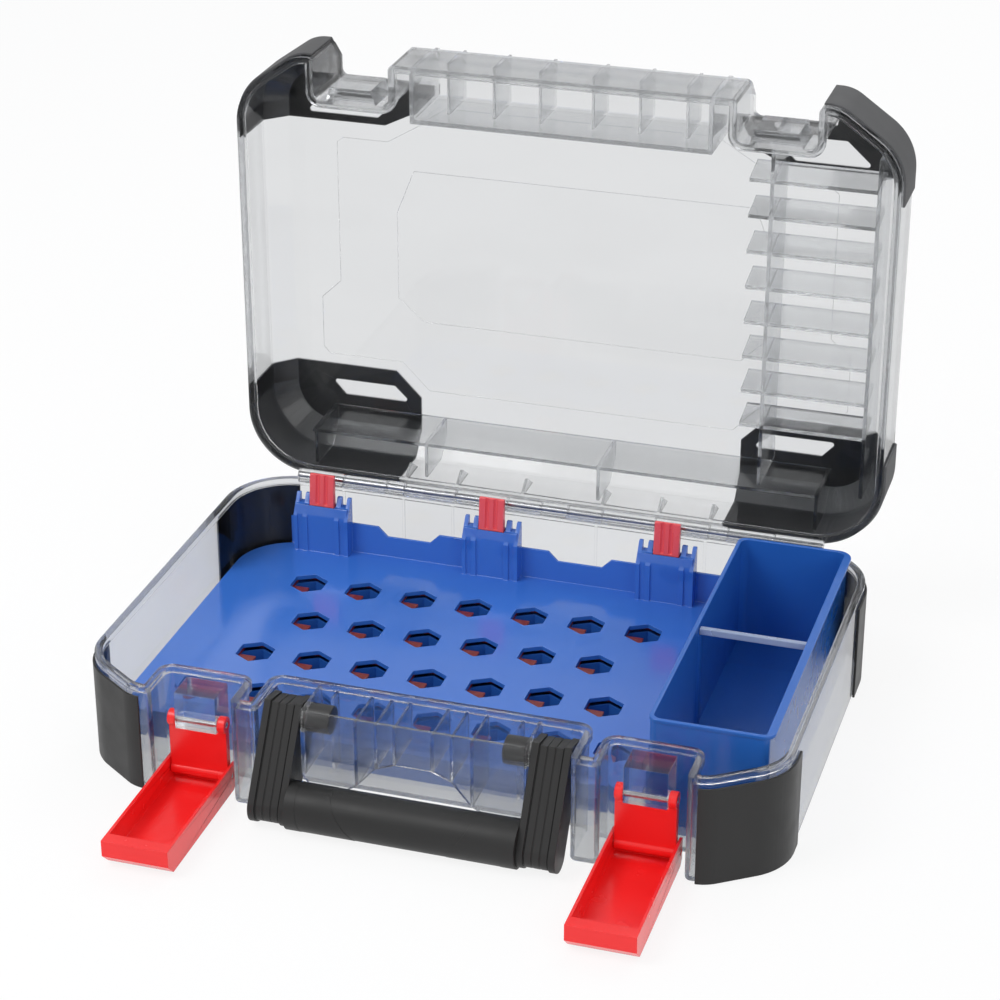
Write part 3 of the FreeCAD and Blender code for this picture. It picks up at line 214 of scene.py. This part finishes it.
def noise(tree, scale, detail=3.0, stretch=(1.0, 1.0, 1.0)):
    """Noise on Object coordinates, stretched along the axes."""
    place = tree.nodes.new("ShaderNodeTexCoord")
    mapping = tree.nodes.new("ShaderNodeMapping")
    mapping.inputs["Scale"].default_value = stretch
    texture = tree.nodes.new("ShaderNodeTexNoise")
    texture.inputs["Scale"].default_value = scale
    texture.inputs["Detail"].default_value = detail
    tree.links.new(place.outputs["Object"], mapping.inputs["Vector"])
    tree.links.new(mapping.outputs["Vector"], texture.inputs["Vector"])
    return texture.outputs["Fac"]


def spread(tree, source, low, high):
    """A number between low and high, led by a source."""
    span = tree.nodes.new("ShaderNodeMapRange")
    span.inputs["From Min"].default_value = 0.3
    span.inputs["From Max"].default_value = 0.7
    span.inputs["To Min"].default_value = low
    span.inputs["To Max"].default_value = high
    tree.links.new(source, span.inputs["Value"])
    return span.outputs["Result"]


def two_tones(tree, source, dark, light):
    """A colour between two tones, led by a source."""
    ramp = tree.nodes.new("ShaderNodeValToRGB")
    ramp.color_ramp.elements[0].position = 0.35
    ramp.color_ramp.elements[1].position = 0.65
    ramp.color_ramp.elements[0].color = (*dark, 1.0)
    ramp.color_ramp.elements[1].color = (*light, 1.0)
    tree.links.new(source, ramp.inputs["Fac"])
    return ramp.outputs["Color"]


def rub(tree, shader, source, strength, distance):
    """A fine bump on a shader."""
    bump = tree.nodes.new("ShaderNodeBump")
    bump.inputs["Strength"].default_value = strength
    bump.inputs["Distance"].default_value = distance
    tree.links.new(source, bump.inputs["Height"])
    tree.links.new(bump.outputs["Normal"], shader.inputs["Normal"])


def moulded(name, dark, light, gloss, grain_scale, grain, shine):
    """An opaque moulded plastic or rubber with slight patches and a fine grain."""
    material, tree, shader, _ = new_material(name)
    patches = noise(tree, PATCH_SCALE)
    tree.links.new(two_tones(tree, patches, dark, light), shader.inputs["Base Color"])
    fine = noise(tree, grain_scale, 2.0)
    tree.links.new(spread(tree, noise(tree, PATCH_SCALE * 4), *gloss), shader.inputs["Roughness"])
    rub(tree, shader, fine, grain, GRAIN_HEIGHT)
    shader.inputs["Specular IOR Level"].default_value = shine
    return material


def clear_material(name, dark, light, bend, absorb, density):
    """A clear plastic that tints what is behind it and lets lamps through."""
    material, tree, shader, output = new_material(name)
    flow = noise(tree, 9.0, 2.0, (1.0, 1.0, 2.2))
    tree.links.new(two_tones(tree, flow, dark, light), shader.inputs["Base Color"])
    tree.links.new(spread(tree, noise(tree, 40.0), *CLEAR_GLOSS), shader.inputs["Roughness"])
    rub(tree, shader, noise(tree, 30.0, 1.0), 0.10, WAVE_HEIGHT)
    shader.inputs["Transmission Weight"].default_value = 1.0
    shader.inputs["IOR"].default_value = bend
    through = tree.nodes.new("ShaderNodeBsdfTransparent")
    through.inputs["Color"].default_value = THROUGH_TONE
    thin = tree.nodes.new("ShaderNodeMixShader")
    thin.inputs["Fac"].default_value = THIN_SHARE
    tree.links.new(shader.outputs["BSDF"], thin.inputs[1])
    tree.links.new(through.outputs["BSDF"], thin.inputs[2])
    path = tree.nodes.new("ShaderNodeLightPath")
    mixed = tree.nodes.new("ShaderNodeMixShader")
    tree.links.new(path.outputs["Is Shadow Ray"], mixed.inputs["Fac"])
    tree.links.new(thin.outputs["Shader"], mixed.inputs[1])
    tree.links.new(through.outputs["BSDF"], mixed.inputs[2])
    tree.links.new(mixed.outputs["Shader"], output.inputs["Surface"])
    volume = tree.nodes.new("ShaderNodeVolumeAbsorption")
    volume.inputs["Color"].default_value = (*absorb, 1.0)
    volume.inputs["Density"].default_value = density
    tree.links.new(volume.outputs["Volume"], output.inputs["Volume"])
    return material


def steel_material():
    """Drawn steel wire with fine lines along it."""
    material, tree, shader, _ = new_material("drawn_steel")
    lines = noise(tree, 900.0, 2.0, (0.02, 1.0, 1.0))
    tree.links.new(two_tones(tree, lines, *STEEL_TONES), shader.inputs["Base Color"])
    tree.links.new(spread(tree, lines, *STEEL_GLOSS), shader.inputs["Roughness"])
    shader.inputs["Metallic"].default_value = 1.0
    return material


def pale_material():
    """The pale translucent plastic of the divider's bead."""
    material, tree, shader, _ = new_material("pale_divider")
    tree.links.new(two_tones(tree, noise(tree, 22.0), *BEAD_TONES), shader.inputs["Base Color"])
    tree.links.new(spread(tree, noise(tree, 60.0), *BEAD_GLOSS), shader.inputs["Roughness"])
    shader.inputs["Transmission Weight"].default_value = BEAD_CLEAR_SHARE
    shader.inputs["IOR"].default_value = BEAD_BEND
    rub(tree, shader, noise(tree, 90.0), 0.1, WAVE_HEIGHT)
    return material


def smooth_by_angle(mesh, degrees):
    """Smooth shading with sharp edges past an angle."""
    mesh.polygons.foreach_set("use_smooth", [True] * len(mesh.polygons))
    mesh.set_sharp_from_angle(angle=math.radians(degrees))


def finish_piece(builder, name, body, finish, stands_for=(), edge_round=0.0):
    """Turn a bmesh into a piece with its finish, its rounding and its body."""
    mesh = bpy.data.meshes.new(name)
    builder.to_mesh(mesh)
    builder.free()
    smooth_by_angle(mesh, SMOOTH_ANGLE)
    mesh.materials.append(finish)
    piece = bpy.data.objects.new(name, mesh)
    bpy.context.scene.collection.objects.link(piece)
    if edge_round:
        bevel = piece.modifiers.new("edge_round", "BEVEL")
        bevel.width = edge_round * MM
        bevel.segments = ROUND_STEPS
        bevel.limit_method = "ANGLE"
        bevel.angle_limit = math.radians(ROUND_ANGLE)
        bevel.use_clamp_overlap = False
        bevel.miter_outer = "MITER_ARC"
        weight = piece.modifiers.new("even_shine", "WEIGHTED_NORMAL")
        weight.keep_sharp = True
    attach(piece, body)
    if stands_for:
        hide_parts(*stands_for)
    return piece


def merged_copy(node):
    """A copy of a CAD node's mesh with its doubles merged."""
    builder = bmesh.new()
    builder.from_mesh(frame["nodes"][node].data)
    bmesh.ops.remove_doubles(builder, verts=builder.verts, dist=MERGE_DISTANCE * MM)
    return builder


def dress_node(node, finish):
    """A rounded copy of a CAD node that stands for it."""
    return finish_piece(merged_copy(node), "finished_" + node, BODY_OF[node],
                        finish, (node,), EDGE_ROUNDS.get(node, PLAIN_ROUND))


def dress_divider(clear, pale):
    """The bin's divider: a clear plate with a pale bead along its top."""
    piece = dress_node("bin_divider", clear)
    mesh = piece.data
    mesh.materials.append(pale)
    bead_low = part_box("bin_divider")[1][2] - BEAD_TALL * MM
    for face in mesh.polygons:
        face.material_index = 1 if face.center.z > bead_low else 0


def dress_spring(word, finish):
    """A tab's return spring, on a mesh of its own."""
    node = "tab_spring_" + word
    piece = dress_node(node, finish)
    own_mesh(piece)


def add_sheet(builder):
    """The thin sheet under the cups, with bevelled corners."""
    low = Vector(SHEET_LOW) * MM
    high = Vector(SHEET_HIGH) * MM
    bmesh.ops.create_cube(builder, size=1.0, matrix=Matrix.Translation((low + high) / 2)
                          @ Matrix.Diagonal((*(high - low), 1.0)))
    upright = [edge for edge in builder.edges
               if abs(edge.verts[0].co.z - edge.verts[1].co.z) > (high.z - low.z) / 2]
    bmesh.ops.bevel(builder, geom=upright, offset=SHEET_CORNER * MM, segments=1, affect="EDGES")


def add_cup(builder, x, y):
    """One six-sided cup, open at its top."""
    place = Vector((x, y, (CUP_LOW + CUP_TOP) / 2)) * MM
    made = bmesh.ops.create_cone(builder, cap_ends=True, segments=CUP_SIDES,
                                 radius1=CUP_RADIUS * MM, radius2=CUP_RADIUS * MM,
                                 depth=(CUP_TOP - CUP_LOW) * MM,
                                 matrix=Matrix.Translation(place))
    top = [face for face in {face for vert in made["verts"] for face in vert.link_faces}
           if face.normal.z > 0.9]
    bmesh.ops.inset_region(builder, faces=top, thickness=CUP_WALL * MM)
    sunk = bmesh.ops.extrude_face_region(builder, geom=top)
    corners = [item for item in sunk["geom"] if isinstance(item, bmesh.types.BMVert)]
    bmesh.ops.translate(builder, vec=(0.0, 0.0, (CUP_LOW + CUP_FLOOR - CUP_TOP) * MM),
                        verts=corners)
    bmesh.ops.delete(builder, geom=top, context="FACES_ONLY")


def hole_cups(finish):
    """Six-sided cups on a thin sheet, which close the view down each hole."""
    builder = bmesh.new()
    add_sheet(builder)
    for row, (first, count) in enumerate(HOLE_ROWS):
        for step in range(count):
            add_cup(builder, HOLE_MIDDLE + (first + step) * HOLE_PITCH, FIRST_ROW + row * ROW_PITCH)
    bmesh.ops.recalc_face_normals(builder, faces=builder.faces)
    finish_piece(builder, "hole_sleeves", "base", finish)


def grip_collars(finish):
    """Thin stepped collars round both ends of the grip, with slanting inner edges."""
    turn = (Matrix.Translation(Vector(HANDLE_PIVOT) * MM)
            @ Matrix.Rotation(math.radians(-HANDLE_TILT), 4, "X")
            @ Matrix.Translation((0.0, 0.0, -GRIP_DROP * MM)))
    for side, word in ((-1, "left"), (1, "right")):
        builder = bmesh.new()
        for number, (length, slant) in enumerate(COLLARS):
            radius = GRIP_RADIUS + COLLAR_PROUD * (len(COLLARS) - number)
            made = bmesh.ops.create_cone(
                builder, cap_ends=True, segments=COLLAR_SEGMENTS, radius1=radius * MM,
                radius2=radius * MM, depth=1.0,
                matrix=Matrix.Rotation(math.radians(90.0 * side), 4, "Y"))
            for vert in made["verts"]:
                inner = vert.co.x * side < 0.0
                low = 0.5 - 0.5 * vert.co.z / (radius * MM)
                reach = GRIP_HALF - (length + slant * low * low if inner else 0.0)
                vert.co.x = side * reach * MM
        bmesh.ops.transform(builder, matrix=turn, verts=builder.verts)
        bmesh.ops.recalc_face_normals(builder, faces=builder.faces)
        finish_piece(builder, "grip_collar_" + word, "handle", finish)


def seen_rays(tree):
    """One for rays from the camera, through clear walls and off glossy faces, else zero."""
    path = tree.nodes.new("ShaderNodeLightPath")
    direct = tree.nodes.new("ShaderNodeMath")
    direct.operation = "MAXIMUM"
    seen = tree.nodes.new("ShaderNodeMath")
    seen.operation = "MAXIMUM"
    tree.links.new(path.outputs["Is Camera Ray"], direct.inputs[0])
    tree.links.new(path.outputs["Is Transmission Ray"], direct.inputs[1])
    tree.links.new(direct.outputs["Value"], seen.inputs[0])
    tree.links.new(path.outputs["Is Glossy Ray"], seen.inputs[1])
    return seen.outputs["Value"]


def stage_floor():
    """A plain pale floor that shows as white to the camera and keeps a soft shadow."""
    builder = bmesh.new()
    bmesh.ops.create_circle(builder, cap_ends=True, segments=FLOOR_SIDES, radius=FLOOR_RADIUS)
    mesh = bpy.data.meshes.new("floor")
    builder.to_mesh(mesh)
    builder.free()
    floor = bpy.data.objects.new("floor", mesh)
    bpy.context.scene.collection.objects.link(floor)
    floor.location.z = -FLOOR_DROP
    material, tree, shader, output = new_material("floor_white")
    shader.inputs["Base Color"].default_value = FLOOR_TONE
    shader.inputs["Roughness"].default_value = FLOOR_ROUGHNESS
    white = tree.nodes.new("ShaderNodeEmission")
    white.inputs["Color"].default_value = (1.0, 1.0, 1.0, 1.0)
    share = tree.nodes.new("ShaderNodeMath")
    share.operation = "MULTIPLY"
    share.inputs[1].default_value = FLOOR_WHITE_SHARE
    mixed = tree.nodes.new("ShaderNodeMixShader")
    tree.links.new(seen_rays(tree), share.inputs[0])
    tree.links.new(share.outputs["Value"], mixed.inputs["Fac"])
    tree.links.new(shader.outputs["BSDF"], mixed.inputs[1])
    tree.links.new(white.outputs["Emission"], mixed.inputs[2])
    tree.links.new(mixed.outputs["Shader"], output.inputs["Surface"])
    mesh.materials.append(material)


def light_world():
    """A plain pale world, white where it is seen."""
    world = bpy.data.worlds.new("studio")
    bpy.context.scene.world = world
    world.use_nodes = True
    tree = world.node_tree
    tree.nodes.clear()
    output = tree.nodes.new("ShaderNodeOutputWorld")
    soft = tree.nodes.new("ShaderNodeBackground")
    soft.inputs["Color"].default_value = WORLD_TONE
    soft.inputs["Strength"].default_value = WORLD_STRENGTH
    white = tree.nodes.new("ShaderNodeBackground")
    white.inputs["Strength"].default_value = 1.0
    mixed = tree.nodes.new("ShaderNodeMixShader")
    tree.links.new(seen_rays(tree), mixed.inputs["Fac"])
    tree.links.new(soft.outputs["Background"], mixed.inputs[1])
    tree.links.new(white.outputs["Background"], mixed.inputs[2])
    tree.links.new(mixed.outputs["Shader"], output.inputs["Surface"])


def area_lamp(name, place, target, size, power):
    """A square soft lamp that looks at a target."""
    data = bpy.data.lights.new(name, "AREA")
    data.shape = "SQUARE"
    data.size = size
    data.energy = power
    lamp = bpy.data.objects.new(name, data)
    bpy.context.scene.collection.objects.link(lamp)
    lamp.location = place
    lamp.rotation_euler = (Vector(target) - Vector(place)).to_track_quat("-Z", "Y").to_euler()


def set_camera():
    """The camera at the photograph's viewing angle."""
    data = bpy.data.cameras.new("camera")
    data.sensor_width = CAMERA_SENSOR
    data.lens = CAMERA_LENS
    camera = bpy.data.objects.new("camera", data)
    bpy.context.scene.collection.objects.link(camera)
    camera.location = CAMERA_PLACE
    camera.rotation_euler = [math.radians(angle) for angle in CAMERA_TURN]
    bpy.context.scene.camera = camera


finishes = {slot: moulded(*values) for slot, values in MOULDED.items()}
finishes["clear_plastic"] = clear_material(*CASE_FINISH)
finishes["steel"] = steel_material()
finishes["pale_plastic"] = pale_material()
# Painted reflection for the lid guards, which are black rubber.
lid_guard_painted_reflection = moulded(*LID_GUARD_PAINTED_REFLECTION)
divider_clear = clear_material(*DIVIDER_FINISH)
# Painted shade for the lock plate, which is red plastic lying under the insert.
lock_painted_shade = moulded(*LOCK_PAINTED_SHADE)
cup_blue = moulded(*CUP_FINISH)
for node_name, node_slot in SLOT_OF.items():
    if node_name in LID_GUARDS:
        dress_node(node_name, lid_guard_painted_reflection)
    elif node_name == "lock_plate":
        dress_node(node_name, lock_painted_shade)
    elif node_name != "bin_divider" and not node_name.startswith("tab_spring_"):
        dress_node(node_name, finishes[node_slot])
for tab_word in TAB_WORDS:
    dress_spring(tab_word, finishes["steel"])
dress_divider(divider_clear, finishes["pale_plastic"])
hole_cups(cup_blue)
grip_collars(finishes["black_rubber"])
stage_floor()
light_world()
for lamp_values in LAMPS:
    area_lamp(*lamp_values)
set_camera()
bpy.context.scene.view_settings.view_transform = "Standard"
